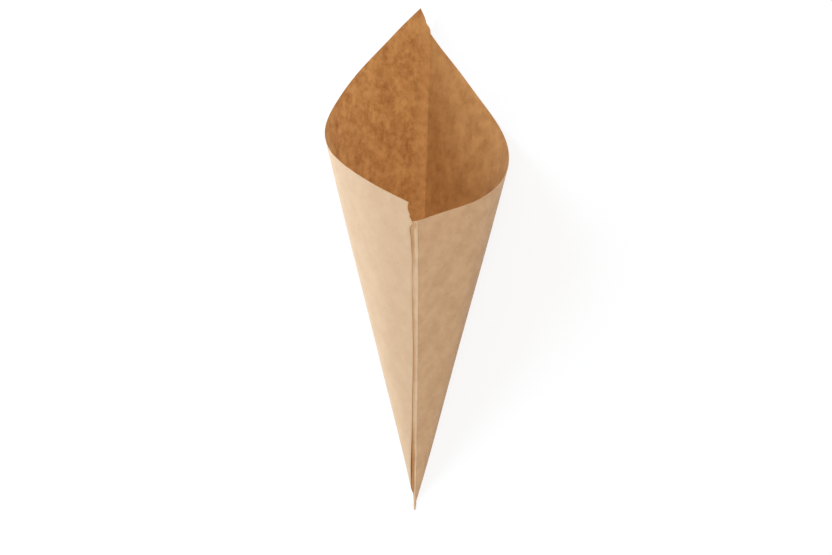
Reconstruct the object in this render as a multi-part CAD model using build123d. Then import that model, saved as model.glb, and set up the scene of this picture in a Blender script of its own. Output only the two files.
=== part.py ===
from build123d import *
import math
import os

# Paper cone bag, opened, lying on the flat beside its back crease. Lengths in mm, angles in
# degrees, +Z up. A sheet with a square corner is folded near the corner's diagonal: that fold
# is the back crease, the corner is the tip, and its two sides close in a glued seam at the
# front crease.

# Flat sheet
seam_length = 170.0        # tip to rim along the front crease, on the right half
lip = 7.5                  # the left half's rim stands this much further from the tip
right_angle = 44.7         # flat angle of the right half, from crease to crease
left_angle = 46.4
paper = 0.2                # thickness of the sheet

# Open form: each half is flat beside its two creases, with three round cone patches between
crease_angle = 34.4        # angle between the front and the back crease at the tip
right_front_flat = 9.5     # flat angle of each plane strip beside a crease
right_back_flat = 11.0     # the cone rests on this strip
left_front_flat = 7.5
left_back_flat = 4.5
right_front_bow = 0.96     # how sharply each patch turns, against the middle one
right_back_bow = 0.87
left_front_bow = 0.31
left_back_bow = 0.6
rim_steps = 5              # steps of the rim's cut along each patch
rim_spare = 1.0            # the patches are drawn this far past the rim, then cut

# Seam: the right half carries on past the front crease as a flap under the left half
flap_width = 12.0          # front crease to the flap's hidden edge
flap_taper = 24.0          # the flap's rim falls away from the crease by this angle
seam_strip = 3.3           # strip of flap left bare between the crease and the left half
glue_bite = 0.05           # how far the flap is pressed into the left half
seam_depth = flap_width / 2  # depth below the front strip that the seam's cuts reach

# Torn ends of the left half's rim: each bite is an arc from tooth to tooth. The points run
# tooth, bite, tooth and so on.
front_bites = (            # down from the rim, beyond the bare strip
    (0.0, 2.9), (3.9, 4.3), (6.0, 1.9), (7.9, 2.2), (10.4, -0.1), (12.6, 1.8), (16.0, 1.3))
front_cut_length = 27.0    # rim to where the left half's edge runs straight
back_bites = (             # on from the right half's rim, off the back crease
    (0.0, 0.0), (1.2, 0.5), (2.3, 0.4), (4.6, 2.5), (6.4, 3.2), (9.2, 5.1), (11.9, 6.0))

# Pinched tip
tip_start = 4.0            # the open wall begins at this height above the tip
tail_length = 2.4          # the pinched end runs this far past the tip
tail_width = 1.4
tail_thickness = 0.8
tail_root = 6.0            # the pressed layers fill the cone up to here
tip_fill_depth = 0.12      # how far below the wall's outside the fill begins

crease_radius = 0.3        # outside radius of both folds

TIP = Vector(0, 0, 0)
BACK = Vector(0, 1, 0)     # the back crease lies along +Y on the floor
rim_right = seam_length
rim_left = seam_length + lip
ray_start = 0.9 * tip_start    # the walls are drawn from here, then cut level at tip_start


class Ray:
    """A straight line of the wall from the tip, with its flat angle from the front crease, its
    heading, its inward normal and the curl of the patch that follows it."""

    def __init__(self, flat, line, heading, side, curl=0.0):
        self.flat = flat
        self.line = line
        self.heading = heading
        self.side = side
        self.curl = curl
        self.inward = line.cross(heading) * -side

    def at(self, distance, depth):
        return self.line * distance + self.inward * depth

    def spindle(self):
        """The axis of the round cone that the following patch is a slice of."""
        return Axis(TIP, self.line.cross(self.heading) + self.line * self.curl)

    def spin(self, angle):
        """The turn about the spindle that takes up a flat angle."""
        return angle * math.hypot(1, self.curl)

    def turned(self, angle):
        """The ray at a flat angle further on along the patch."""
        line = self.line.rotate(self.spindle(), self.spin(angle))
        heading = self.heading.rotate(self.spindle(), self.spin(angle))
        return Ray(self.flat - angle, line, heading, self.side, self.curl)

    def swung(self, angle):
        """The ray swung about the back crease."""
        line = self.line.rotate(Axis.Y, angle)
        return Ray(self.flat, line, self.heading.rotate(Axis.Y, angle), self.side, self.curl)


def trace(side, angle, back_flat, bows, front_flat, bow):
    """Rays between the patches of one half, from the back crease to the front crease."""
    third = (angle - back_flat - front_flat) / len(bows)
    patches = [(0.0, back_flat)]
    patches += [(-side * bow * share, third) for share in bows]
    patches += [(0.0, front_flat)]
    rays = [Ray(angle, BACK, Vector(side, 0, 0), side)]
    for curl, width in patches:
        rays[-1].curl = curl
        rays.append(rays[-1].turned(width))
    rays[-1].curl = 0.0
    return rays


def opened(side, angle, back_flat, bows, front_flat):
    """Rays of one half, bowed until its creases stand crease_angle apart."""
    gentle = 0.0
    sharp = 9.0
    for _ in range(50):
        bow = (gentle + sharp) / 2
        front = trace(side, angle, back_flat, bows, front_flat, bow)[-1]
        if front.line.get_angle(BACK) > crease_angle:
            gentle = bow
        else:
            sharp = bow
    return trace(side, angle, back_flat, bows, front_flat, bow)


def between(rays):
    """The rays, with evenly spaced ones along each patch between them."""
    steps = []
    for first, last in zip(rays, rays[1:]):
        width = first.flat - last.flat
        steps += [first.turned(width * i / rim_steps) for i in range(rim_steps)]
    return steps + [rays[-1]]


def rim_distance(ray, rim):
    """Tip to rim along a ray: the rim is a straight cut square to the front crease."""
    return rim / math.cos(math.radians(ray.flat))


def quad(ray, start, end, outer, inner):
    return Wire.make_polygon([
        ray.at(start, outer),
        ray.at(end, outer),
        ray.at(end, inner),
        ray.at(start, inner),
    ], close=True)


def flat_strip(first, last, rim, outer, inner):
    """The plane strip of wall between two rays."""
    outline = Wire.make_polygon([
        first.at(ray_start, outer),
        first.at(rim_distance(first, rim), outer),
        last.at(rim_distance(last, rim), outer),
        last.at(ray_start, outer),
    ], close=True)
    return Solid.extrude(Face(outline), first.inward * (inner - outer))


def cone_patches(rays, rim, outer, inner):
    """Slices of round cones between the rays, drawn a little past the rim."""
    wall = None
    for first, last in zip(rays, rays[1:]):
        end = max(rim_distance(first, rim), rim_distance(last, rim)) + rim_spare
        slice_face = Face(quad(first, ray_start, end, outer, inner))
        patch = Solid.revolve(slice_face, first.spin(first.flat - last.flat), first.spindle())
        wall = patch if wall is None else wall + patch
    return wall


def past_rim(rays, rim):
    """The space past the rim, around the patches."""
    quads = []
    for ray in between(rays):
        start = rim_distance(ray, rim)
        quads.append(quad(ray, start, start + seam_length / 4, -paper, 2 * paper))
    return Solid.make_loft(quads)


def bowed_wall(rays, rim):
    return cone_patches(rays, rim, 0, paper) - past_rim(rays, rim)


def trimmed(solid, origin, inward):
    """What is left of a solid on the inward side of a plane."""
    return split(solid, bisect_by=Plane(origin=origin, z_dir=inward), keep=Keep.TOP)


def on_sheet(ray, across, outline, depth):
    """A prism over an outline drawn on the plane of a strip, along a crease and off it. The
    outline's parts are lines (two points) and arcs (three points)."""
    sheet = Plane(origin=TIP, x_dir=ray.line, z_dir=ray.line.cross(across))
    edges = []
    for part in outline:
        ends = [sheet.from_local_coords(Vector(x, y, 0)) - ray.inward for x, y in part]
        edges.append(Edge.make_line(*ends) if len(ends) == 2 else Edge.make_three_point_arc(*ends))
    return Solid.extrude(Face(Wire(edges)), ray.inward * (depth + 1))


def lines(points):
    return [(points[i], points[i + 1]) for i in range(len(points) - 1)]


def arcs(points):
    return [tuple(points[i:i + 3]) for i in range(0, len(points) - 1, 2)]


def front_cut(crease):
    """Takes the left half back from the front crease, with the torn cut at its corner."""
    torn = [(rim_left - down, seam_strip + off) for down, off in front_bites]
    beyond = (rim_left + 1, torn[0][1])
    start = (rim_left - front_cut_length, seam_strip)
    outline = lines([(0, seam_strip), start, torn[-1]]) + arcs(torn[::-1])
    outline += lines([torn[0], beyond, (rim_left + 1, -seam_depth), (0, -seam_depth), (0, seam_strip)])
    return on_sheet(crease, -crease.heading, outline, seam_depth)


def back_cut(crease):
    """Takes the corner of the left half's rim off at the back crease, with a torn cut."""
    low = rim_right / math.cos(math.radians(right_angle))
    torn = [(low + on, off) for on, off in back_bites]
    high, width = torn[-1]
    rest = [torn[-1], (high + 2 * lip, width), (high + 2 * lip, -width), (low, -width), torn[0]]
    return on_sheet(crease, crease.heading, arcs(torn) + lines(rest), seam_depth)


def rounded(solid, crease, face):
    """A folded pair of strips with the outside of the fold rounded."""
    folds = []
    for edge in solid.edges():
        middle = edge.center()
        off = middle - crease * middle.dot(crease)
        outside = abs(off.dot(face.inward)) < paper / 4
        if edge.length > seam_length / 2 and off.length < 2 * paper and outside:
            folds.append(edge)
    return fillet(folds, crease_radius)


def back_fold(left, right):
    """The two strips beside the back crease, mitred where they meet."""
    mitre = BACK.cross(left[0].inward + right[0].inward)
    if mitre.dot(left[0].heading) < 0:
        mitre = -mitre
    left_strip = flat_strip(left[0], left[1], rim_left, 0, paper)
    right_strip = flat_strip(right[0], right[1], rim_right, 0, paper)
    strips = trimmed(left_strip, TIP, mitre) - back_cut(left[0]) + trimmed(right_strip, TIP, -mitre)
    return rounded(strips, BACK, right[0])


def front_fold(left, right):
    """The strip beside the front crease on the right half, and the flap folded back from it."""
    outer = paper - glue_bite
    crease = left[-1]
    flap = flat_strip(left[-2], crease.turned(1), rim_right, outer, outer + paper)
    flap = trimmed(flap, TIP, right[-1].inward) & flap_limit(crease)
    strip = flat_strip(right[-2], right[-1], rim_right, 0, paper)
    strip = trimmed(strip, crease.at(0, outer), crease.inward)
    return rounded(strip + flap, crease.line, right[-1])


def flap_limit(crease):
    """The part of the space under the left half that the flap takes up."""
    fall = flap_width * math.tan(math.radians(flap_taper))
    corners = [(0, -seam_depth), (0, flap_width), (rim_right - fall, flap_width), (rim_right, 0)]
    corners += [(rim_right, -seam_depth), (0, -seam_depth)]
    return on_sheet(crease, -crease.heading, lines(corners), seam_depth)


def flap_bow(left):
    """The flap's narrow end near the tip, where it follows the bowed part of the left half."""
    outer = paper - glue_bite
    return cone_patches(left[-3:-1], rim_right, outer, outer + paper) & flap_limit(left[-1])


def level_point(ray, axis, height):
    """The point of a ray within the wall, on the cone's cross-section at a height."""
    point = ray.at(height / ray.line.dot(axis), tip_fill_depth)
    return point - axis * (point.dot(axis) - height)


def tip_fill(rays, axis):
    """The layers of paper pressed solid inside the tip."""
    ring = [level_point(ray, axis, tail_root) for ray in rays]
    sides = [Wire.make_polygon([ring[i - 1], ring[i], TIP], close=True) for i in range(len(ring))]
    lid = Wire.make_polygon(ring, close=True)
    return Solid(Shell([Face(side) for side in sides + [lid]]))


def tail(axis):
    """The pinched end of the sheet, which runs on past the tip along the floor."""
    section = Rectangle(tail_width, tail_thickness)
    section = chamfer(section.vertices(), tail_thickness / 4)
    low = Vector(tail_width / 4, -tail_length, tail_thickness / 2)
    end = Plane(origin=low, x_dir=(1, 0, 0), z_dir=BACK) * section
    return Solid.extrude(end.face(), axis * tip_start - low)


right_bows = (right_back_bow, 1.0, right_front_bow)
left_bows = (left_back_bow, 1.0, left_front_bow)
right = opened(1, right_angle, right_back_flat, right_bows, right_front_flat)
left = opened(-1, left_angle, left_back_flat, left_bows, left_front_flat)
swing = math.degrees(math.atan2(left[-1].line.Z, left[-1].line.X)
                     - math.atan2(right[-1].line.Z, right[-1].line.X))
left = [ray.swung(swing) for ray in left]
axis = sum((ray.line for ray in between(right) + between(left)), Vector(0, 0, 0)).normalized()

left_wall = bowed_wall(left[1:-1], rim_left)
left_wall += flat_strip(left[-2], left[-1], rim_left, 0, paper)
left_wall -= front_cut(left[-1])
cone = back_fold(left, right) + bowed_wall(right[1:-1], rim_right)
cone += front_fold(left, right) + left_wall
cone += flap_bow(left)
cone = trimmed(cone, axis * tip_start, axis)
cone += tip_fill(between(right) + between(left)[-2:0:-1], axis) + tail(axis)

# The origin is at the middle of the footprint, on the floor
box = cone.bounding_box()
cone = Pos(-box.center().X, -box.center().Y, -box.min.Z) * cone
print("solids", len(cone.solids()), "valid", cone.is_valid, "volume mm3", round(cone.volume, 1))
print("tip at", -box.center().X, -box.center().Y, -box.min.Z)

os.makedirs("parts", exist_ok=True)
export_step(cone, "parts/paper_cone.step")
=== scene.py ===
import math
from types import SimpleNamespace

import bpy
import numpy as np
from bpy.props import FloatProperty, FloatVectorProperty, IntProperty, PointerProperty
from bpy.types import Operator, Panel, PropertyGroup
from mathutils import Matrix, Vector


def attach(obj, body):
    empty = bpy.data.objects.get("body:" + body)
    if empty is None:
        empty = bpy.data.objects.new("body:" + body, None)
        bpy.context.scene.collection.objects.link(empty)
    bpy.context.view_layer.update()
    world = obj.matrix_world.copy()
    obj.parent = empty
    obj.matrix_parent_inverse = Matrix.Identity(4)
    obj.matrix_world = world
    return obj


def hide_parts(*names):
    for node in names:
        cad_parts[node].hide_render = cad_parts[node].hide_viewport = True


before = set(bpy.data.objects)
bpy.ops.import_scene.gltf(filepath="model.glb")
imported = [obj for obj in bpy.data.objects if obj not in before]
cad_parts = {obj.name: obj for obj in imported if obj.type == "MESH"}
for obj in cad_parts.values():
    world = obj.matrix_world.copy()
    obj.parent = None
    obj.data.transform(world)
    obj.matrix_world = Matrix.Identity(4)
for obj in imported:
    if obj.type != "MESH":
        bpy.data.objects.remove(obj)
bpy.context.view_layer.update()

bl_info = {
    "name": "Kraft paper cone bag",
    "version": (1, 0, 0),
    "blender": (4, 5, 0),
    "location": "View3D > Sidebar > Paper cone",
    "description": "Builds an opened paper cone bag, its kraft paper and a plain studio",
    "category": "Object",
}

MM = 0.001
NODE = "paper_cone"
SHEET_LOOK = "kraft_sheet"
BACK = np.array([0.0, 1.0, 0.0])  # direction of the back crease from the tip
OUTSIDE, INSIDE, CUT = 0.0, 1.0, 2.0  # kinds of face


# Sizes and colours

def distance(name, millimetres, description):
    """A length, given in mm and kept in metres."""
    return FloatProperty(name=name, description=description, default=millimetres * MM, min=0.0,
                         subtype="DISTANCE", precision=4)


def angular(name, degrees, description):
    """An angle, given in degrees and kept in radians."""
    return FloatProperty(name=name, description=description, default=math.radians(degrees),
                         subtype="ANGLE")


def tint(name, red, green, blue, description):
    """A linear colour."""
    return FloatVectorProperty(name=name, description=description, default=(red, green, blue), size=3,
                               min=0.0, max=1.0, subtype="COLOR")


def fraction(name, value, description):
    """A share from 0 to 1."""
    return FloatProperty(name=name, description=description, default=value, min=0.0, max=1.0,
                         subtype="FACTOR")


def wattage(name, watts, description):
    """A lamp's power."""
    return FloatProperty(name=name, description=description, default=watts, min=0.0, unit="POWER")


class PaperConeSizes(PropertyGroup):
    """The flat sheet, its folds and how far it is opened."""
    seam_length: distance("Seam length", 170.0, "Tip to rim along the front crease, on the right half")
    lip: distance("Lip", 7.5, "How much further from the tip the left half's rim stands")
    right_angle: angular("Right angle", 44.7, "Flat angle of the right half at the tip")
    left_angle: angular("Left angle", 46.4, "Flat angle of the left half at the tip")
    crease_angle: angular("Crease angle", 34.4, "Angle at the tip between the opened cone's creases")
    paper: distance("Paper", 0.2, "Thickness of the sheet")
    fold: distance("Fold", 0.45, "How far from a crease the fold's rounding reaches")
    seam_strip: distance("Seam strip", 3.3, "Bare flap between the front crease and the left half")
    flap_width: distance("Flap width", 12.0, "Front crease to the flap's hidden edge")
    flap_taper: angular("Flap taper", 24.0, "The flap's rim falls away from the crease by this angle")
    # Painted shadow: the glue band past the free edge also stands for that edge's shadow on the flap.
    stain_and_shade_reach: distance("Glue reach", 1.5, "How far past the left half's edge glue has soaked in")
    bow: distance("Seam bow", 0.7, "How far the front crease bows from its straight line")
    torn_length: distance("Torn length", 32.0, "Rim to where the left half's free edge runs straight")
    edge_lift: distance("Edge lift", 0.22, "How far the free edge stands off the flap near the tip")
    wave: distance("Wave", 0.16, "Height of the slight waves in the walls")
    tail_length: distance("Tail length", 2.4, "How far the pinched end runs past the tip")
    tail_width: distance("Tail width", 1.4, "Across the pinched end")
    tail_thickness: distance("Tail thickness", 0.8, "Through the pinched end")
    tip_place: FloatVectorProperty(
        name="Tip place", default=(-29.631 * MM, -124.3438 * MM, 0.0), size=3, subtype="TRANSLATION",
        unit="LENGTH", precision=4, description="Where the tip lies, from the middle of the footprint")
    rows: IntProperty(name="Rows", default=80, min=8, description="Grid rows from tip to torn end")
    columns: IntProperty(name="Columns", default=88, min=8, description="Grid columns across a half")


def drawn(sizes):
    """The sizes as the surfaces use them: lengths in millimetres and angles in degrees."""
    scale = {"LENGTH": 1 / MM, "ROTATION": math.degrees(1.0)}
    values = {}
    for name, kind in sizes.bl_rna.properties.items():
        if kind.type in ("INT", "FLOAT"):
            value = getattr(sizes, name)
            value = np.array(value) if kind.type == "FLOAT" and kind.is_array else value
            values[name] = value * scale.get(getattr(kind, "unit", "NONE"), 1)
    return SimpleNamespace(**values)


class KraftColours(PropertyGroup):
    """Linear colours of the paper's two faces."""
    outside: tint("Outside", 0.565, 0.366, 0.210, "Smooth pale outer face")
    outside_dark: tint("Outside clouds", 0.42, 0.240, 0.118, "Its darker clouds and fibres")
    inside: tint("Inside", 0.535, 0.272, 0.089, "Rough brown inner face")
    inside_dark: tint("Inside clouds", 0.29, 0.110, 0.027, "Its darker clouds and fibres")
    cut: tint("Cut edge", 0.44, 0.28, 0.15, "Fibres on the cut edges")
    # Painted shadow: this colour darkens the flap beside the free edge for glue stain and for that
    # edge's shadow.
    stain_and_shade: tint("Glue stain", 0.80, 0.62, 0.39, "What glue multiplies the flap's colour by")
    # Painted light: a lighter colour along the inside of the middle fold, standing in for light on the
    # rounded fold.
    painted_fold_light: tint("Worn fold", 0.62, 0.345, 0.135, "Loosened fibres along the middle fold, inside")
    speck: tint("Specks", 0.45, 0.19, 0.05, "Sparse bits of bark and fibre")
    roughness: fraction("Roughness", 0.72, "Roughness of the outer face")


class StudioLook(PropertyGroup):
    """The plain floor, its soft lights and the camera."""
    high_power: wattage("High", 14.9, "Power of the high light on the left")
    low_power: wattage("Low", 12.5, "Power of the low light on the left")
    front_power: wattage("Front", 4.2, "Power of the light past the tip")
    mouth_power: wattage("Mouth", 1.6, "Power of the light past the mouth")
    right_power: wattage("Right", 11.0, "Power of the warmer light past the mouth's right")
    sky: FloatProperty(
        name="Sky", default=0.23, min=0.0, description="Strength of the plain surrounding light")
    floor: tint("Floor", 0.8, 0.8, 0.8, "Colour of the floor where light falls on it")
    floor_white: fraction("Floor white", 0.87, "Share of its own white that the floor shows the camera")
    camera_place: FloatVectorProperty(
        name="Camera place", size=3, default=(0.74657, -0.01933, 0.82715), subtype="TRANSLATION",
        unit="LENGTH", description="Where the camera stands")
    camera_turn: FloatVectorProperty(
        name="Camera turn", size=3, default=np.radians((2.3214, 43.2988, 2.6438)), subtype="EULER",
        unit="ROTATION", description="Turn of the camera about X, Y and Z")
    lens: FloatProperty(
        name="Lens", default=97.03, min=1.0, unit="CAMERA",
        description="Focal length on a 36 mm wide sensor")


# The half's rays: where the straight lines of the wall run

# Each half's strips: flat angle (degrees) of the plane one beside the back crease, how sharply
# each round patch turns against the middle one, and flat angle of the plane one beside the
# front crease
RIGHT_STRIPS = (11.0, (0.87, 1.0, 0.96), 9.5)
LEFT_STRIPS = (4.5, (0.6, 1.0, 0.31), 7.5)
SHARPEST_BOW = 9.0
HALVINGS = 50


def carried(line, heading, curl, angle):
    """A ray and its heading after flat angles (degrees) of constant curl. Both turn about the
    axis line x heading + curl * line, by the angle times the square root of 1 + curl squared."""
    axis = np.cross(line, heading) + curl * line
    stretch = np.linalg.norm(axis)
    axis = axis / stretch
    spin = np.radians(np.asarray(angle, float))[..., None] * stretch
    cos, sin = np.cos(spin), np.sin(spin)

    def turned(vector):
        """A vector turned about the axis: its part along the axis stays."""
        return vector * cos + np.cross(axis, vector) * sin + axis * (axis @ vector) * (1 - cos)

    return turned(line), turned(heading)


def strips_of(side, angle, back_flat, bows, front_flat, bow):
    """Curl and flat angle of each strip of a half, from the back crease to the front crease."""
    third = (angle - back_flat - front_flat) / len(bows)
    return [(0.0, back_flat)] + [(-side * bow * share, third) for share in bows] + [(0.0, front_flat)]


def half_lines(side, strips, flat):
    """Rays and headings at flat angles from the back crease: each strip carries on where the
    one before it ended, and the outer strips run on past the creases."""
    flat = np.asarray(flat, float)
    line, heading = BACK, np.array([side, 0.0, 0.0])
    start = 0.0
    lines = np.zeros(flat.shape + (3,))
    headings = np.zeros(flat.shape + (3,))
    for number, (curl, width) in enumerate(strips):
        here = (flat >= start) if number else np.ones(flat.shape, bool)
        rays, ways = carried(line, heading, curl, flat - start)
        lines = np.where(here[..., None], rays, lines)
        headings = np.where(here[..., None], ways, headings)
        line, heading = (value[()] for value in carried(line, heading, curl, width))
        start += width
    return lines, headings


def opened_strips(side, angle, back_flat, bows, front_flat, crease_angle):
    """The strips of a half, with its bow found by halving until the creases stand apart by
    the crease angle."""
    gentle, sharp = 0.0, SHARPEST_BOW
    for _ in range(HALVINGS):
        bow = (gentle + sharp) / 2
        strips = strips_of(side, angle, back_flat, bows, front_flat, bow)
        end = half_lines(side, strips, angle)[0]
        if math.degrees(math.acos(float(end @ BACK))) > crease_angle:
            gentle = bow
        else:
            sharp = bow
    return strips


class Cone:
    """Both halves of the opened cone, in millimetres from the tip."""

    def __init__(self, sizes):
        """Opens both halves, and finds the turn about the back crease that brings the left
        half's front crease onto the right half's."""
        self.sizes = sizes
        self.right = opened_strips(1, sizes.right_angle, *RIGHT_STRIPS, sizes.crease_angle)
        self.left = opened_strips(-1, sizes.left_angle, *LEFT_STRIPS, sizes.crease_angle)
        front_r = half_lines(1, self.right, sizes.right_angle)[0]
        front_l = half_lines(-1, self.left, sizes.left_angle)[0]
        swing = math.atan2(front_l[2], front_l[0]) - math.atan2(front_r[2], front_r[0])
        cos, sin = math.cos(swing), math.sin(swing)
        self.swing = np.array([[cos, 0, sin], [0, 1, 0], [-sin, 0, cos]])
        self.front = front_r

    def angle(self, side):
        """The flat angle of a half: 1 is the right one, -1 the left one."""
        return self.sizes.right_angle if side > 0 else self.sizes.left_angle

    def rays(self, side, from_front):
        """Rays, headings towards the front crease and outward normals, at flat angles (degrees)
        from the front crease. The left half's are swung about the back crease."""
        strips = self.right if side > 0 else self.left
        flat = self.angle(side) - np.asarray(from_front, float)
        lines, headings = half_lines(side, strips, flat)
        if side < 0:
            lines, headings = lines @ self.swing.T, headings @ self.swing.T
        return lines, headings, np.cross(lines, headings) * side

    def wall(self, side, along, from_front):
        """Points and outward normals where the ray at a flat angle meets the line that crosses
        the front crease squarely at a distance along it: the ray's length is along / cos(angle)."""
        lines, _, normals = self.rays(side, from_front)
        reach = along / np.cos(np.radians(from_front))
        return lines * reach[..., None], normals


# The sheet's outline on its flat

# Torn ends of the left half, in mm: tooth, bite, tooth and so on. The front ones run down from
# the rim, beyond the bare strip; the back ones on from the right half's rim, off the back crease.
FRONT_BITES = np.array([
    (0.0, 2.4), (3.7, 3.05), (6.3, 1.65), (7.2, 1.85), (8.2, 1.4), (9.3, 0.4), (10.8, -0.3),
    (13.2, 1.45), (17.5, 1.15)])
BACK_BITES = np.array([
    (0.0, 0.0), (0.6, 0.02), (1.2, 0.1), (2.2, 0.68), (3.1, 1.1), (3.9, 1.9), (4.6, 2.5), (5.9, 2.93),
    (7.2, 3.35), (9.3, 4.5), (11.9, 6.0)])

# Bell curves along the front crease: height, middle and width, the last two in mm
FREE_EDGE_STRAYS = ((-0.85, 92, 22), (-0.55, 52, 26))  # mm
# The glue band paints the free edge's shadow on the flap as well as glue stain; the strong bell near
# the tip paints the shade in the gap under the lifted edge.
STAIN_AND_SHADE_REACHES = ((0.9, 162, 14), (1.0, 12, 12), (0.5, 30, 12))  # mm
STAIN_AND_SHADE_STRENGTHS = ((1.35, 18, 20), (-0.5, 134, 12), (0.4, 158, 9))  # shares
LIFTS = ((0.95, 26, 20),)  # shares of the lift
PRESSES = ((0.35, 134, 18),)  # shares of the thickness

# Rows of the grid, in mm along the front crease
FIRST_ROW = 2.4
ROW_GAP = 0.8  # between the plain rows and those of the torn ends
ROW_STEP = 0.7  # past the right half's rim
CLOSEST_ROWS = 0.12
ROW_CROWDING = 1.35  # power that crowds the plain rows towards the tip
STRAIGHT_POINTS = 24  # on the free edge, where it runs straight
FOLD_STEPS = 4  # columns across one side of a fold
FLAP_STEPS = 14  # columns across the flap beyond its fold


def bell(value, middle, width):
    """A bell curve: e to the minus square of the distance from the middle over the width."""
    return np.exp(-((value - middle) / width) ** 2)


def bells(value, table):
    """The sum of bell curves, each given as its height, middle and width."""
    return sum(height * bell(value, middle, width) for height, middle, width in table)


def arc(start, middle, end, steps):
    """Points along the circle through three points. Its centre is where the two chords'
    perpendicular bisectors meet; the turn from start to end is cut into equal steps."""
    chords = np.stack([middle - start, end - middle])
    halves = np.stack([start + middle, middle + end]) / 2
    centre = np.linalg.solve(chords, (chords * halves).sum(1))
    turns = np.unwrap([math.atan2(*(point - centre)[::-1]) for point in (start, middle, end)])
    turn = np.linspace(turns[0], turns[2], steps + 1)
    return centre + np.linalg.norm(start - centre) * np.stack([np.cos(turn), np.sin(turn)], 1)


def torn(points, steps=9):
    """A torn edge: an arc for every bite, from tooth to tooth."""
    bites = [arc(*points[i:i + 3], steps)[:-1] for i in range(0, len(points) - 1, 2)]
    return np.concatenate(bites + [points[-1:]])


def front_edge(sizes):
    """The left half's free edge: distances along the front crease, and off it. Below the torn
    end it strays from its straight line by bell curves. The crease's own bow is added."""
    rim = sizes.seam_length + sizes.lip
    down, off = torn(FRONT_BITES)[::-1].T
    straight = np.linspace(0.0, rim - sizes.torn_length, STRAIGHT_POINTS)
    along = np.concatenate([straight, rim - down])
    off = sizes.seam_strip + np.concatenate([bells(straight, FREE_EDGE_STRAYS), off])
    return along, off + seam_sway(along, sizes)


def seam_sway(along, sizes):
    """How far the front crease bows to the right of its straight line: the bow times
    (1 - s to the fourth power), where s runs from -1 at the tip to 1 at the rim."""
    place = np.clip(2 * along / sizes.seam_length - 1, -1, 1)
    return sizes.bow * (1 - place ** 4)


def back_edge(sizes):
    """The left half's torn end beyond the right half's rim: each point's row, its distance
    along the front crease, is (along the back crease) cos(a) + (off it) sin(a) for the half's
    flat angle a. Comes with each point's flat angle from the back crease, in degrees."""
    on, off = torn(BACK_BITES).T
    on = on + sizes.seam_length / math.cos(math.radians(sizes.right_angle))
    angle = math.radians(sizes.left_angle)
    return on * math.cos(angle) + off * math.sin(angle), np.degrees(np.arctan2(off, on))


def rows_of(sizes):
    """Rows of the left half up to the right half's rim, and past it: closer near the tip, and
    one through every point of both torn ends."""
    front, back = front_edge(sizes)[0], back_edge(sizes)[0]
    front = front[front > sizes.seam_length + sizes.lip - sizes.torn_length]
    join = back[0]
    last = front[0] - ROW_GAP
    plain = FIRST_ROW + (last - FIRST_ROW) * np.linspace(0, 1, sizes.rows) ** ROW_CROWDING
    near = np.concatenate([front, back, np.arange(join, front[-1], ROW_STEP)])
    near = np.unique(np.round(near, 3))
    near = near[np.concatenate([[True], np.diff(near) > CLOSEST_ROWS])]
    near[np.argmin(np.abs(near - join))] = join
    near[-1] = front[-1]
    return np.concatenate([plain, near[near <= join]]), near[near > join]


def eased(count, power=1.6):
    """Shares from 0 to 1 that crowd towards both ends: on each side of the middle, one minus
    the distance to the end, raised to the power."""
    share = np.linspace(-1, 1, count)
    return (np.sign(share) * (1 - (1 - np.abs(share)) ** power) + 1) / 2


WAVE_ARC = 45.0  # flat angle (degrees) from crease to crease that the waves fill
WAVE_FULL = 150.0  # mm from the tip to where the waves have their full height
WAVE_END = 30.0  # the right half's waves end here, in degrees from the front crease, so
WAVE_FADE = 6.0  # that the strip it lies on stays flat, and fade over this many
SWELL_PLACE = 43.0  # degrees from the front crease to the rim's swell
SWELL_WIDTH = 2.2  # degrees
RIM_SINES = ((0.22, 0.21, 1), (0.12, 0.53, 2))  # height in mm, pace per degree, phases


def waves(reach, from_front, height, phase):
    """Slight waves of the wall: the sum of three sines of the flat place, times the sine of its
    share of the arc between the creases to the power 1.5, so that the creases stay true."""
    angle = np.radians(from_front)
    fade = np.sin(np.clip(from_front / WAVE_ARC, 0, 1) * math.pi) ** 1.5
    swell = (np.sin(angle * 17.0 + phase) * np.sin(reach / 31.0 + phase * 1.7)
             + 0.6 * np.sin(angle * 31.0 + 2.1 * phase) * np.sin(reach / 19.0 + 0.4)
             + 0.5 * np.sin(angle * 9.0 + reach / 43.0 + phase))
    return height * fade * swell * np.clip(reach / WAVE_FULL, 0, 1)


def rim_wander(from_front, phase, swell):
    """How far the cut rim strays from its line, in mm: two slow sines, and a swell (a bell
    curve) near the back crease."""
    sines = sum(height * np.sin(from_front * pace + phases * phase)
                for height, pace, phases in RIM_SINES)
    return sines + swell * bell(from_front, SWELL_PLACE, SWELL_WIDTH)


def near_rim(rows):
    """A share that is 0 up to seven eighths of the rows' length and climbs straight to 1 at
    their end."""
    return np.clip(rows / rows[-1] * 8 - 7, 0, 1)


def fold_bend(off, reach_of_fold, into_left, into_right):
    """The pull of a rounded fold at distances from the crease: a quarter of its reach times
    (1 - off / reach) squared, along the sum of the two directions that leave the crease."""
    share = np.clip(1 - np.abs(off) / reach_of_fold, 0, 1) ** 2
    return (reach_of_fold / 4) * share[..., None] * (into_left + into_right)


def blended(off, reach_of_fold, normal_left, normal_right):
    """Normals round a fold: the two planes' normals mixed by the place across it."""
    share = np.clip(off / reach_of_fold, -1, 1)[..., None]
    mixed = (1 - share) * normal_left + (1 + share) * normal_right
    return mixed / np.linalg.norm(mixed, axis=-1, keepdims=True)


# Surfaces of the sheet

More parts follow.
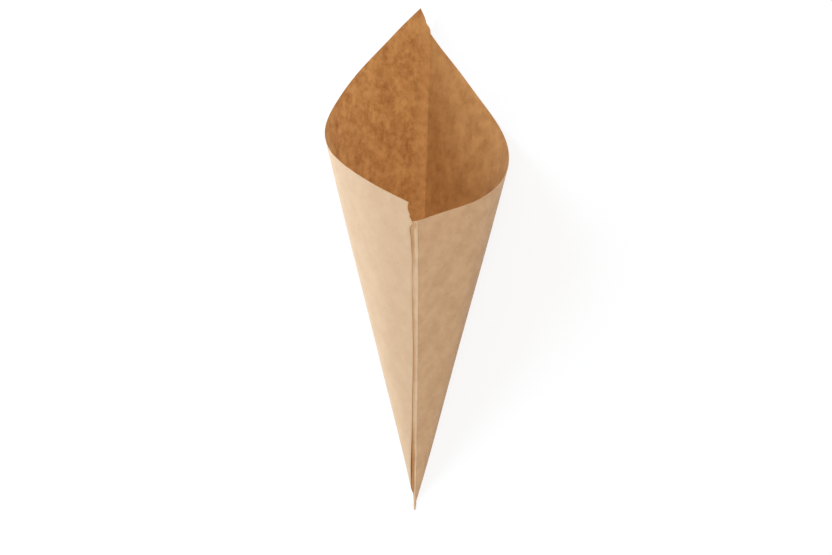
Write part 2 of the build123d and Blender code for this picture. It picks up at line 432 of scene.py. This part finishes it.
WIDEST_INNER = 33.0  # degrees: most flat angle of the free edge, near the tip
LIFT_WIDTH = 6.0  # mm from the free edge to where its lift has faded
LIFT_FULL = 12.0  # mm from the tip to where the lift has its full height
LIFT_AT_TIP = 0.15  # share of the lift at the tip
LEAST_LIFT = 0.05  # share of the lift that is left far from the tip
PRESS_WIDTH = 1.2  # mm from the free edge to where the paper has its full thickness
PRESSED = 0.5  # share of the thickness that is pressed away at the free edge
FLAP_DEPTH = 1.08  # from the left half's outer face to the flap's, in thicknesses of paper
FLAP_TIP_ANGLE = 18.0  # degrees: near the tip the flap is no wider than this
TAPER_START = 140.0  # mm from the tip to where the flap's rows begin to fall
SWAY_WIDTH = 22.0  # mm from the front crease over which its bow fades
STAIN_AND_SHADE_STEP = 0.6  # mm over which the edge of the glue stain and painted shadow is soft

# Each half's phase of its waves, and its rim's phase and height of the swell in mm
LEFT_PHASE, LEFT_WANDER = 1.3, (0.7, 0.45)
RIGHT_PHASE, RIGHT_WANDER = 4.1, (2.9, -0.35)


def left_surface(cone, rows, join):
    """The left half: angle from the free edge to the back crease, or to the torn end past the
    right half's rim. Near the tip the free edge stands off the flap by a lift that fades
    squared. All along it is pressed thinner, by a depth that fades squared."""
    sizes = cone.sizes
    rows = rows[:, None]
    inner = np.degrees(np.arctan2(np.interp(rows, *front_edge(sizes)), rows))
    inner = np.minimum(inner, WIDEST_INNER)
    cut = np.where(rows > join, np.interp(rows, *back_edge(sizes)), 0.0)
    outer = sizes.left_angle - cut
    fold = np.degrees(sizes.fold * math.cos(math.radians(sizes.left_angle)) / rows)
    main = inner + (outer - fold - inner) * eased(sizes.columns)
    last = outer - fold * np.linspace(1, 0, FOLD_STEPS + 1)[1:]
    angle = np.concatenate([main, last], 1)
    stray = rim_wander(angle, *LEFT_WANDER) * near_rim(rows)
    place, normal = cone.wall(-1, rows + stray, angle)
    reach = rows / np.cos(np.radians(angle))
    off_edge = reach * np.sin(np.radians(angle - inner))
    rise = LEAST_LIFT + bells(rows, LIFTS)
    root = np.clip(rows / LIFT_FULL, LIFT_AT_TIP, 1)
    lift = sizes.edge_lift * rise * root * np.clip(1 - off_edge / LIFT_WIDTH, 0, 1) ** 2
    press = PRESSED + bells(rows, PRESSES)
    pressed = sizes.paper * press * np.clip(1 - off_edge / PRESS_WIDTH, 0, 1) ** 2
    height = waves(reach, angle, sizes.wave, LEFT_PHASE) + lift - pressed
    return place + normal * height[..., None], normal, angle, reach, pressed


def right_surface(cone, rows):
    """The right half: angle from the back crease to the front crease. Its waves stay clear of
    the strip that it lies on."""
    sizes = cone.sizes
    rows = rows[:, None]
    fold_back = np.degrees(sizes.fold * math.cos(math.radians(sizes.right_angle)) / rows)
    fold_front = np.degrees(sizes.fold / rows)
    start = np.degrees(flap_crease(cone)[1] / rows)
    steps = np.linspace(0, 1, FOLD_STEPS + 1)[1:]
    back = sizes.right_angle - fold_back * steps
    low, high = start + fold_front, sizes.right_angle - fold_back
    main = high + (low - high) * eased(sizes.columns)[1:]
    front = start + fold_front * (1 - steps)
    angle = np.concatenate([back, main, front], 1)
    stray = rim_wander(angle, *RIGHT_WANDER) * near_rim(rows)
    place, normal = cone.wall(1, rows + stray, angle)
    reach = rows / np.cos(np.radians(angle))
    clear = np.clip((WAVE_END - angle) / WAVE_FADE, 0, 1)
    height = waves(reach, angle, sizes.wave, RIGHT_PHASE) * clear
    return place + normal * height[..., None], normal, angle, reach


def flap_crease(cone):
    """The front crease of the flap: the line, in the right half's plane, that lies as deep under
    the left half as the flap does. Gives its offset, its distance across the right half and
    that depth."""
    depth = cone.sizes.paper * FLAP_DEPTH
    _, _, out_l = cone.rays(-1, 0.0)
    _, way_r, _ = cone.rays(1, 0.0)
    into_right = -way_r
    across = -depth / float(into_right @ out_l)
    return into_right * across, across, depth


def flap_surface(cone, rows):
    """The flap: the left half's surface, lowered by its depth, from the crease to the flap's
    edge. Near the tip it narrows with the cone, and its fold takes at most a third of it. Near
    the rim its rows fall by the taper."""
    sizes = cone.sizes
    rows = rows[:, None]
    offset, _, depth = flap_crease(cone)
    first = float(offset @ -cone.rays(-1, 0.0)[1])
    edge = np.minimum(sizes.flap_width, rows * math.tan(math.radians(FLAP_TIP_ANGLE)))
    fold = np.minimum(sizes.fold, edge / 3)
    near = first + fold * np.linspace(0, 1, FOLD_STEPS + 1)[1:]
    far = first + fold + (edge - first - fold) * np.linspace(0, 1, FLAP_STEPS + 1)[1:]
    across = np.concatenate([near, far], 1)
    fall = np.clip((rows - TAPER_START) / (sizes.seam_length - TAPER_START), 0, 1)
    along = rows - fall * math.tan(math.radians(sizes.flap_taper)) * (across - first)
    angle = np.degrees(np.arctan2(across, along))
    place, normal = cone.wall(-1, along, angle)
    return place - normal * depth, normal, along, across, first


def glue_stain_and_shade(across, along, sizes):
    """How much the flap is darkened beside the left half's free edge, by glue stain and by the
    painted shadow of that edge, from 0 to 1 and up to 2 near the tip, where it also paints the
    shade in the gap under the lifted edge: it starts in a soft step, which wanders by two sines,
    beyond the left half's edge. Bell curves set how far it reaches along the seam and how strong
    it is."""
    edge = np.interp(along, *front_edge(sizes)) - sizes.stain_and_shade_reach - bells(along, STAIN_AND_SHADE_REACHES)
    wander = 0.2 * np.sin(along / 7.3) + 0.15 * np.sin(along / 3.1 + 1.0)
    strength = 0.75 + 0.15 * np.sin(along / 21.0 + 2.0) + bells(along, STAIN_AND_SHADE_STRENGTHS)
    return np.clip((across - edge - wander) / STAIN_AND_SHADE_STEP + 0.5, 0, 1) * strength


def swayed(place, cone, along, off):
    """Carries places near the front crease with its bow, which fades as a bell curve on both
    sides. The bow runs along the difference of the two headings to the crease."""
    way = cone.rays(-1, 0.0)[1] - cone.rays(1, 0.0)[1]
    sway = seam_sway(along, cone.sizes) * bell(off, 0, SWAY_WIDTH)
    return place + way / np.linalg.norm(way) * sway[..., None]


def folded(place, normal, off, reach, ways, outs):
    """Rounds one side of a fold: places pulled in along the two headings that leave the crease,
    and normals turned from one plane's to the other's."""
    near = (np.abs(off) < reach)[..., None]
    return place + fold_bend(off, reach, *ways), np.where(near, blended(off, reach, *outs), normal)


def flat_place(reach, turn):
    """Where a place lies on the flat sheet, in mm: along its middle fold and across it."""
    turn = np.radians(turn)
    return np.stack([reach * np.cos(turn), reach * np.sin(turn)], -1)


def sheet_grid(sizes):
    """The whole sheet's outer face as two grids that share the right half's rim row: all
    columns up to that row, and the left half's columns past it. Each place comes with its
    outward normal, its place on the flat sheet, how much glue stain and painted shadow of the
    free edge darken it, and how thick."""
    cone = Cone(sizes)
    rows, beyond = rows_of(sizes)
    count = len(rows)
    rows_right = rows * sizes.seam_length / rows[-1]
    rows_left = np.concatenate([rows, beyond])
    left, normal_l, angle_l, reach_l, pressed = left_surface(cone, rows_left, rows[-1])
    right, normal_r, angle_r, reach_r = right_surface(cone, rows_right)
    flap, normal_f, along_f, across_f, first = flap_surface(cone, rows_right)

    _, way_l, out_l = cone.rays(-1, sizes.left_angle)
    _, way_r, out_r = cone.rays(1, sizes.right_angle)
    off = -reach_l[:count] * np.sin(np.radians(sizes.left_angle - angle_l[:count]))
    left[:count], normal_l[:count] = folded(
        left[:count], normal_l[:count], off, sizes.fold, (way_l, way_r), (out_l, out_r))
    off = reach_r * np.sin(np.radians(sizes.right_angle - angle_r))
    right, normal_r = folded(right, normal_r, off, sizes.fold, (way_l, way_r), (out_l, out_r))

    _, way_l, out_l = cone.rays(-1, 0.0)
    _, way_r, out_r = cone.rays(1, 0.0)
    off = flap_crease(cone)[1] - rows_right[:, None] * np.tan(np.radians(angle_r))
    right, normal_r = folded(right, normal_r, off, sizes.fold, (-way_r, -way_l), (out_r, out_l))
    flap, normal_f = folded(
        flap, normal_f, across_f - first, sizes.fold, (-way_r, -way_l), (out_r, out_l))

    left = swayed(left, cone, rows_left[:, None], reach_l * np.sin(np.radians(angle_l)))
    right = swayed(right, cone, rows_right[:, None], reach_r * np.sin(np.radians(angle_r)))
    flap = swayed(flap, cone, along_f, across_f)

    turn_f = -sizes.right_angle - np.degrees(np.arctan2(across_f, along_f))
    groups = (
        (left, right, flap),
        (normal_l, normal_r, normal_f),
        (flat_place(reach_l, sizes.left_angle - angle_l),
         flat_place(reach_r, angle_r - sizes.right_angle),
         flat_place(np.hypot(along_f, across_f), turn_f)),
        (np.zeros(angle_l.shape + (1,)), np.zeros(angle_r.shape + (1,)),
         glue_stain_and_shade(across_f, along_f, sizes)[..., None]),
        (sizes.paper - pressed[..., None], np.full(angle_r.shape + (1,), sizes.paper),
         np.full(across_f.shape + (1,), sizes.paper)))
    main = [np.concatenate([part[:count] for part in group], 1) for group in groups]
    return main, [group[0][count:] for group in groups]


# Mesh helpers

def quads(index):
    """Four corners for each cell of a grid of vertex numbers."""
    corners = [index[:-1, :-1], index[:-1, 1:], index[1:, 1:], index[1:, :-1]]
    return np.stack([corner.ravel() for corner in corners], 1)


def closed_sheet(places, normals, faces, thickness):
    """A closed wall: the faces, the same faces lowered by the thickness and turned over, and
    a strip along every open edge, which is an edge that only one face has. Gives points, faces
    and each face's kind."""
    count = len(places)
    points = np.concatenate([places, places - normals * thickness])
    back = faces[:, ::-1] + count
    edges = np.concatenate([faces[:, [i, (i + 1) % 4]] for i in range(4)])
    key = np.sort(edges, 1)
    _, first, uses = np.unique(key[:, 0] * count + key[:, 1], return_index=True, return_counts=True)
    rim = edges[first[uses == 1]]
    strip = np.stack([rim[:, 1], rim[:, 0], rim[:, 0] + count, rim[:, 1] + count], 1)
    kinds = np.repeat([OUTSIDE, INSIDE, CUT], [len(faces), len(back), len(strip)])
    return points, np.concatenate([faces, back, strip]), kinds


def mesh_object(name, points, faces, smooth=True):
    """A mesh object from arrays of points and four-cornered faces."""
    mesh = bpy.data.meshes.new(name)
    mesh.vertices.add(len(points))
    mesh.vertices.foreach_set("co", np.ascontiguousarray(points, np.float32).ravel())
    mesh.loops.add(faces.size)
    mesh.loops.foreach_set("vertex_index", np.ascontiguousarray(faces, np.int32).ravel())
    mesh.polygons.add(len(faces))
    mesh.polygons.foreach_set("loop_start", np.arange(0, faces.size, 4, dtype=np.int32))
    mesh.polygons.foreach_set("use_smooth", np.full(len(faces), smooth))
    mesh.update(calc_edges=True)
    piece = bpy.data.objects.new(name, mesh)
    bpy.context.scene.collection.objects.link(piece)
    return piece


def set_values(piece, name, domain, values):
    """Gives a piece an attribute: one number for each of its faces or points."""
    layer = piece.data.attributes.new(name, "FLOAT", domain)
    layer.data.foreach_set("value", np.ascontiguousarray(values, np.float32))


def set_flat_map(piece, flat):
    """The piece's UV map: each corner's place on the flat sheet, in metres."""
    layer = piece.data.uv_layers.new(name="flat_sheet")
    loops = np.zeros(len(piece.data.loops), np.int32)
    piece.data.loops.foreach_get("vertex_index", loops)
    layer.data.foreach_set("uv", np.ascontiguousarray(flat[loops], np.float32).ravel())


def mark_sharp(piece, kinds):
    """Marks edges sharp where a cut edge's strip meets a face of the sheet."""
    mesh = piece.data
    edge_of_loop = np.zeros(len(mesh.loops), np.int32)
    mesh.loops.foreach_get("edge_index", edge_of_loop)
    kind_of_loop = np.repeat(kinds, 4)
    low = np.full(len(mesh.edges), np.inf)
    high = np.full(len(mesh.edges), -np.inf)
    np.minimum.at(low, edge_of_loop, kind_of_loop)
    np.maximum.at(high, edge_of_loop, kind_of_loop)
    mesh.edges.foreach_set("use_edge_sharp", (high == CUT) & (low < CUT))


def on_floor(points, sizes):
    """Places in the scene, in metres, of places in mm from the tip. None lies below the floor."""
    placed = (points + sizes.tip_place) * MM
    placed[:, 2] = np.maximum(placed[:, 2], 0.0)
    return placed


# Materials

# Noises of a face: scale, detail, roughness, stretch of the place, and the two values of the
# noise that become 0 and 1
CLOUD = (110.0, 4.0, 0.6, (1.0, 1.0, 1.0), 0.35, 0.65)
MOTTLE = (310.0, 4.0, 0.68, (0.85, 1.0, 1.0), 0.36, 0.70)
STREAK = (170.0, 3.0, 0.6, (0.2, 1.0, 1.0), 0.35, 0.65)
FLECK = (1500.0, 2.0, 0.6, (0.35, 1.0, 1.0), 0.60, 0.74)
MOTTLE_HEIGHT = -0.6
FLECK_HEIGHT = -0.4
SPECK_SCALE = 75.0
SPECK_REACH = (0.042, 0.018)  # from a cell's middle: where a speck begins, and where it is full
SPECK_CHOICE = 0.68  # only cells of a higher random grey have a speck

# How strong each part of a face's look is. A pair is for the right half and the left half. The
# inside's right-half clouds and mottle are also set to darken that wall: painted shade as well as
# the paper's own clouds.
OUTSIDE_LOOK = {"Clouds": (0.34, 0.16), "Mottle": (0.20, 0.12), "Streaks": 0.08, "Flecks": 0.18,
                "Specks": 0.5}
INSIDE_LOOK = {"Clouds": (0.37, 0.43), "Mottle": (0.22, 0.48), "Streaks": 0.14, "Flecks": 0.12,
               "Specks": 0.4}
HALVES_MEET = (-0.004, 0.006)  # m across the middle fold, from one half's look to the other's
INSIDE_ROUGHNESS = 0.9
KIND_SLACK = 0.4

# Painted light along the middle fold, a lighter stripe that softens its step of shading, in
# metres: its middle on the left half, and its reach to both sides
FOLD_LIGHT_PLACE = 0.002
FOLD_LIGHT_REACH = 0.0065
FOLD_LIGHT_SCALE = 260.0
FOLD_LIGHT_MOST = 0.6


def add(tree, kind, inputs=(), **settings):
    """A new node. Each input is given a plain value or linked to another node's output."""
    node = tree.nodes.new(kind)
    for key, value in settings.items():
        setattr(node, key, value)
    for name, value in dict(inputs).items():
        if isinstance(value, bpy.types.NodeSocket):
            tree.links.new(value, node.inputs[name])
        else:
            node.inputs[name].default_value = value
    return node


def math_node(tree, operation, first, second=0.0):
    """The result of one sum."""
    return add(tree, "ShaderNodeMath", {0: first, 1: second}, operation=operation).outputs[0]


def map_range(tree, value, from_low, from_high, to_low=0.0, to_high=1.0):
    """A value carried from one range to another, and kept within it."""
    return add(tree, "ShaderNodeMapRange", {
        "Value": value, "From Min": from_low, "From Max": from_high, "To Min": to_low,
        "To Max": to_high}).outputs[0]


def colour_mix(tree, share, first, second, blend="MIX"):
    """Two colours mixed by a share."""
    return add(tree, "ShaderNodeMix", {0: share, 6: first, 7: second}, data_type="RGBA",
               blend_type=blend).outputs[2]


def paper_group():
    """Kraft paper's face: broad clouds, fine mottling, fibre flecks along the sheet and faint
    streaks, mixed from a base colour towards a dark one, with sparse specks. Gives colour and
    height."""
    group = bpy.data.node_groups.new("kraft_paper_face", "ShaderNodeTree")
    sockets = (("INPUT", "Vector", ("Place",)), ("INPUT", "Color", ("Base", "Dark", "Speck")),
               ("INPUT", "Float", ("Clouds", "Mottle", "Streaks", "Flecks", "Specks")),
               ("OUTPUT", "Color", ("Color",)), ("OUTPUT", "Float", ("Height",)))
    for way, kind, names in sockets:
        for name in names:
            group.interface.new_socket(name=name, in_out=way, socket_type="NodeSocket" + kind)
    source = add(group, "NodeGroupInput")

    def noise(scale, detail, rough, stretch, low, high):
        """A noise of the stretched place, with its low and high values spread to 0 and 1."""
        place = add(group, "ShaderNodeMapping", {"Vector": source.outputs["Place"], "Scale": stretch})
        texture = add(group, "ShaderNodeTexNoise", {
            "Vector": place.outputs[0], "Scale": scale, "Detail": detail, "Roughness": rough},
            noise_dimensions="2D")
        return map_range(group, texture.outputs["Fac"], low, high)

    mottle = noise(*MOTTLE)
    fleck = noise(*FLECK)
    total = math_node(group, "MULTIPLY", noise(*CLOUD), source.outputs["Clouds"])
    for value, name in ((mottle, "Mottle"), (noise(*STREAK), "Streaks"), (fleck, "Flecks")):
        part = math_node(group, "MULTIPLY", value, source.outputs[name])
        total = math_node(group, "ADD", total, part)
    colour = colour_mix(group, total, source.outputs["Base"], source.outputs["Dark"])
    cells = add(group, "ShaderNodeTexVoronoi", {
        "Vector": source.outputs["Place"], "Scale": SPECK_SCALE}, voronoi_dimensions="2D")
    dot = map_range(group, cells.outputs["Distance"], *SPECK_REACH)
    chosen = math_node(group, "GREATER_THAN", cells.outputs["Color"], SPECK_CHOICE)
    dots = math_node(group, "MULTIPLY", math_node(group, "MULTIPLY", dot, chosen),
                     source.outputs["Specks"])
    colour = colour_mix(group, dots, colour, source.outputs["Speck"])
    height = math_node(group, "ADD", math_node(group, "MULTIPLY", mottle, MOTTLE_HEIGHT),
                       math_node(group, "MULTIPLY", fleck, FLECK_HEIGHT))
    add(group, "NodeGroupOutput", {"Color": colour, "Height": height})
    return group


def face_node(tree, group, place, across, look, base, dark, speck):
    """The paper group with one face's colours. Where its look differs between the halves, it
    turns from one to the other by the place across the middle fold."""
    inputs = {"Place": place, "Base": (*base, 1), "Dark": (*dark, 1), "Speck": (*speck, 1)}
    for name, value in look.items():
        pair = isinstance(value, tuple)
        inputs[name] = map_range(tree, across, *HALVES_MEET, *value) if pair else value
    return add(tree, "ShaderNodeGroup", inputs, node_tree=group)


def painted_fold_light_mask(tree, across, place):
    """A mask of painted light along the middle fold, a lighter stripe that softens the fold's step
    of shading: strongest a little off it on the left half, fading straight to nothing on both
    sides of that, and broken up by noise."""
    aside = math_node(tree, "ABSOLUTE", math_node(tree, "SUBTRACT", across, FOLD_LIGHT_PLACE))
    near = map_range(tree, aside, FOLD_LIGHT_REACH, 0.0)
    noise = add(tree, "ShaderNodeTexNoise", {"Vector": place, "Scale": FOLD_LIGHT_SCALE},
                noise_dimensions="2D")
    mask = math_node(tree, "MULTIPLY", near, noise.outputs["Fac"])
    return math_node(tree, "MULTIPLY", mask, FOLD_LIGHT_MOST)


def kraft_material(colours):
    """Two-faced kraft paper on the flat sheet's map. The face attribute tells the smooth pale
    outside from the rough brown inside and the cut edges."""
    material = bpy.data.materials.new(SHEET_LOOK)
    material.use_nodes = True
    tree = material.node_tree
    tree.nodes.clear()
    place = add(tree, "ShaderNodeUVMap", uv_map="flat_sheet").outputs[0]
    across = add(tree, "ShaderNodeSeparateXYZ", {0: place}).outputs["Y"]
    group = paper_group()
    outside = face_node(tree, group, place, across, OUTSIDE_LOOK, colours.outside,
                        colours.outside_dark, colours.speck)
    inside = face_node(tree, group, place, across, INSIDE_LOOK, colours.inside,
                       colours.inside_dark, colours.speck)

    face = add(tree, "ShaderNodeAttribute", attribute_name="face_kind").outputs["Fac"]
    is_inside = math_node(tree, "COMPARE", face, INSIDE)
    is_inside.node.inputs[2].default_value = KIND_SLACK
    is_cut = math_node(tree, "GREATER_THAN", face, CUT - KIND_SLACK)
    # Painted light: the inside is lightened along the middle fold to soften its shading.
    fold_light_share = painted_fold_light_mask(tree, across, place)
    painted_fold_light = colour_mix(tree, fold_light_share, inside.outputs["Color"], (*colours.painted_fold_light, 1))
    colour = colour_mix(tree, is_inside, outside.outputs["Color"], painted_fold_light)
    colour = colour_mix(tree, is_cut, colour, (*colours.cut, 1))
    # Painted shadow: the glue attribute darkens the flap beside the free edge for glue stain and for
    # that edge's shadow, up to twice near the tip.
    glue = add(tree, "ShaderNodeAttribute", attribute_name="glue").outputs["Fac"]
    for stain_and_shade_share in (math_node(tree, "MINIMUM", glue, 1.0), math_node(tree, "SUBTRACT", glue, 1.0)):
        colour = colour_mix(tree, stain_and_shade_share, colour, (*colours.stain_and_shade, 1), "MULTIPLY")

    rough = map_range(tree, is_inside, 0.0, 1.0, colours.roughness, INSIDE_ROUGHNESS)
    height = add(tree, "ShaderNodeMix", {
        0: is_inside, 2: outside.outputs["Height"], 3: inside.outputs["Height"]}, data_type="FLOAT")
    bump = add(tree, "ShaderNodeBump", {
        "Strength": 0.25, "Distance": 0.08 * MM, "Height": height.outputs[0]})
    shader = add(tree, "ShaderNodeBsdfPrincipled", {
        "Base Color": colour, "Roughness": rough, "Specular IOR Level": 0.28, "Sheen Weight": 0.06,
        "Normal": bump.outputs[0]})
    add(tree, "ShaderNodeOutputMaterial", {"Surface": shader.outputs[0]})
    return material


def floor_material(look):
    """A white floor that keeps a faint shadow: seen straight on it is mostly its own white,
    and partly the light that falls on it."""
    material = bpy.data.materials.new("white_floor")
    material.use_nodes = True
    tree = material.node_tree
    tree.nodes.clear()
    lit = add(tree, "ShaderNodeBsdfDiffuse", {"Color": (*look.floor, 1)})
    glow = add(tree, "ShaderNodeEmission")
    path = add(tree, "ShaderNodeLightPath")
    seen = math_node(tree, "MAXIMUM", path.outputs["Is Camera Ray"], path.outputs["Is Glossy Ray"])
    seen = math_node(tree, "MAXIMUM", seen, path.outputs["Is Transmission Ray"])
    share = math_node(tree, "MULTIPLY", seen, look.floor_white)
    mix = add(tree, "ShaderNodeMixShader", {0: share, 1: lit.outputs[0], 2: glow.outputs[0]})
    add(tree, "ShaderNodeOutputMaterial", {"Surface": mix.outputs[0]})
    return material


def finish_piece(piece, material):
    """Gives a piece its material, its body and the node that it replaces."""
    piece.data.materials.append(material)
    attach(piece, "root")
    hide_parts(NODE)


def kraft():
    """The sheet's material, made when it is first asked for."""
    return bpy.data.materials.get(SHEET_LOOK) or kraft_material(bpy.context.scene.kraft_colours)


# The pinched end at the tip, in mm

TAIL_ROOT = 5.0  # up the cone's middle from the tip
TAIL_RINGS = 22
TAIL_AROUND = 24
TAIL_SQUARENESS = 0.55  # power of the sine and cosine round a ring: 1 gives an ellipse
ROOT_HALF = 0.75  # half the thickness at the root
END_TAPER = 0.62  # share of the width that is lost by the end
TAIL_WANDER = (0.06, 11.0)  # height and pace of the width's slight wander
END_PINCH = 0.2  # off half the thickness at the end


def tail_rings(cone):
    """Rings of the pinched end from its root up in the cone to its end, for a share s of the
    way. Half the width falls by the cube of s and wanders by a sine. Half the thickness goes
    to the end's by s to the power 0.6, less a pinch by s to the sixth."""
    sizes = cone.sizes
    axis = cone.front + BACK
    axis = axis / np.linalg.norm(axis)
    share = np.linspace(0, 1, TAIL_RINGS)[:, None]
    turn = np.linspace(0, 2 * math.pi, TAIL_AROUND + 1)[None, :-1]
    root = axis * TAIL_ROOT
    end = np.array([sizes.tail_width / 4, -sizes.tail_length, sizes.tail_thickness / 2])
    middle = root + (end - root) * share[..., None]
    height, pace = TAIL_WANDER
    half_w = sizes.tail_width / 2 * (1 - END_TAPER * share ** 3) + height * np.sin(share * pace)
    half_t = ROOT_HALF + (sizes.tail_thickness / 2 - ROOT_HALF) * share ** 0.6
    half_t = half_t - END_PINCH * share ** 6
    cos, sin = np.cos(turn), np.sin(turn)
    side = np.sign(cos) * np.abs(cos) ** TAIL_SQUARENESS * half_w
    rise = np.sign(sin) * np.abs(sin) ** TAIL_SQUARENESS * half_t
    sideways, upwards = np.array([1.0, 0, 0]), np.array([0, 0, 1.0])
    return middle + side[..., None] * sideways + rise[..., None] * upwards


def capped_tube(rings, around):
    """Faces of a closed tube of rings: its wall, and caps of quads laid across both ends."""
    index = np.arange(rings * around).reshape(rings, around)
    parts = [quads(np.concatenate([index, index[:, :1]], 1))]
    half = around // 2
    for ring, step in ((0, 1), (rings - 1, -1)):
        near, far = index[ring], index[ring, ::-1]
        cap = np.stack([near[:half - 1], near[1:half], far[1:half], far[:half - 1]], 1)
        parts.append(cap[:, ::step])
    return np.concatenate(parts)


# Studio

# Lamps: name, power, place, size and colour
LAMPS = (
    ("high_light", "high_power", (-0.75, 0.35, 0.85), 0.9, (0.72, 0.84, 1.0)),
    ("low_light", "low_power", (-1.0, -0.1, 0.45), 1.1, (0.76, 0.90, 1.0)),
    ("front_light", "front_power", (0.3, -1.0, 0.6), 0.6, (1.0, 0.978, 0.957)),
    ("mouth_light", "mouth_power", (0.15, 0.95, 0.75), 0.6, (1.0, 0.967, 0.926)),
    ("right_light", "right_power", (0.85, 0.7, 0.6), 0.6, (1.0, 0.885, 0.765)))
LAMP_AIM = (0, 0.02, 0.03)
FLOOR_HALF = 6.0
SENSOR_WIDTH = 36.0
FARTHEST_SEEN = 50.0


def lamp(name, power, place, size, colour):
    """A round soft light that faces the cone."""
    light = bpy.data.lights.new(name, "AREA")
    light.shape = "DISK"
    light.size = size
    light.energy = power
    light.color = colour
    holder = bpy.data.objects.new(name, light)
    holder.location = place
    direction = Vector(LAMP_AIM) - Vector(place)
    holder.rotation_euler = direction.to_track_quat("-Z", "Y").to_euler()
    bpy.context.scene.collection.objects.link(holder)


# Operators

class PAPERCONE_OT_sheet(Operator):
    """Builds the folded sheet: both halves, the two folds, the glued flap and the toothed ends"""
    bl_idname = "papercone.sheet"
    bl_label = "Build the folded sheet"

    def execute(self, context):
        sizes = drawn(context.scene.cone_sizes)
        main, extra = sheet_grid(sizes)
        rows, columns = main[0].shape[:2]
        index = np.arange(rows * columns).reshape(rows, columns)
        more, width = extra[0].shape[:2]
        beyond = np.arange(more * width).reshape(more, width) + rows * columns
        beyond = np.concatenate([index[-1:, :width], beyond])
        faces = np.concatenate([quads(index), quads(beyond)])
        places, normals, flats, glue, thickness = (
            np.concatenate([part.reshape(-1, part.shape[-1]) for part in pair])
            for pair in zip(main, extra))
        points, faces, kinds = closed_sheet(places, normals, faces, thickness)
        piece = mesh_object("folded_sheet", on_floor(points, sizes), faces)
        set_values(piece, "face_kind", "FACE", kinds)
        set_values(piece, "glue", "POINT", np.concatenate([glue, glue])[:, 0])
        set_flat_map(piece, np.concatenate([flats, flats]) * MM)
        mark_sharp(piece, kinds)
        finish_piece(piece, kraft())
        return {"FINISHED"}


class PAPERCONE_OT_tail(Operator):
    """Builds the pinched end of the sheet at the tip"""
    bl_idname = "papercone.tail"
    bl_label = "Build the pinched tip"

    def execute(self, context):
        sizes = drawn(context.scene.cone_sizes)
        points = tail_rings(Cone(sizes)).reshape(-1, 3)
        faces = capped_tube(TAIL_RINGS, TAIL_AROUND)
        piece = mesh_object("pinched_tip", on_floor(points, sizes), faces)
        set_values(piece, "face_kind", "FACE", np.full(len(faces), OUTSIDE))
        set_flat_map(piece, points[:, :2] * MM)
        finish_piece(piece, kraft())
        return {"FINISHED"}


class PAPERCONE_OT_stage(Operator):
    """Builds the plain white floor, the soft lights and the camera"""
    bl_idname = "papercone.stage"
    bl_label = "Build the studio"

    def execute(self, context):
        scene = context.scene
        look = scene.studio_look
        corners = np.array([(-1, -1, 0), (1, -1, 0), (1, 1, 0), (-1, 1, 0)]) * FLOOR_HALF
        floor = mesh_object("studio_floor", corners, np.array([[0, 1, 2, 3]]), smooth=False)
        floor.data.materials.append(floor_material(look))
        for name, power, place, size, colour in LAMPS:
            lamp(name, getattr(look, power), place, size, colour)

        world = scene.world or bpy.data.worlds.new("studio_world")
        scene.world = world
        world.use_nodes = True
        sky = world.node_tree.nodes.get("Background")
        sky.inputs["Color"].default_value = (1, 1, 1, 1)
        sky.inputs["Strength"].default_value = look.sky

        camera = bpy.data.objects.new("camera", bpy.data.cameras.new("camera"))
        camera.data.sensor_width = SENSOR_WIDTH
        camera.data.lens = look.lens
        camera.data.clip_end = FARTHEST_SEEN
        camera.location = look.camera_place
        camera.rotation_euler = look.camera_turn
        scene.collection.objects.link(camera)
        scene.camera = camera
        scene.view_settings.view_transform = "Standard"
        return {"FINISHED"}


class PAPERCONE_PT_panel(Panel):
    """Lists the sizes, colours and steps of the paper cone"""
    bl_idname = "PAPERCONE_PT_panel"
    bl_label = "Paper cone"
    bl_space_type = "VIEW_3D"
    bl_region_type = "UI"
    bl_category = "Paper cone"

    def draw(self, context):
        scene = context.scene
        for title, group in (("Sheet", scene.cone_sizes), ("Paper", scene.kraft_colours),
                             ("Studio", scene.studio_look)):
            box = self.layout.box()
            box.label(text=title)
            for name in group.bl_rna.properties.keys():
                if name not in ("rna_type", "name"):
                    box.prop(group, name)
        for step in STEPS:
            self.layout.operator(step.bl_idname)


STEPS = (PAPERCONE_OT_sheet, PAPERCONE_OT_tail, PAPERCONE_OT_stage)
CLASSES = (PaperConeSizes, KraftColours, StudioLook) + STEPS + (PAPERCONE_PT_panel,)


def register():
    """Registers the classes and the scene's sizes, colours and studio."""
    for item in CLASSES:
        bpy.utils.register_class(item)
    bpy.types.Scene.cone_sizes = PointerProperty(type=PaperConeSizes)
    bpy.types.Scene.kraft_colours = PointerProperty(type=KraftColours)
    bpy.types.Scene.studio_look = PointerProperty(type=StudioLook)


def unregister():
    """Undoes what register did."""
    del bpy.types.Scene.cone_sizes
    del bpy.types.Scene.kraft_colours
    del bpy.types.Scene.studio_look
    for item in reversed(CLASSES):
        bpy.utils.unregister_class(item)


def main():
    """Builds everything."""
    register()
    bpy.ops.papercone.sheet()
    bpy.ops.papercone.tail()
    bpy.ops.papercone.stage()
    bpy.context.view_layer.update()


if __name__ == "__main__":
    main()
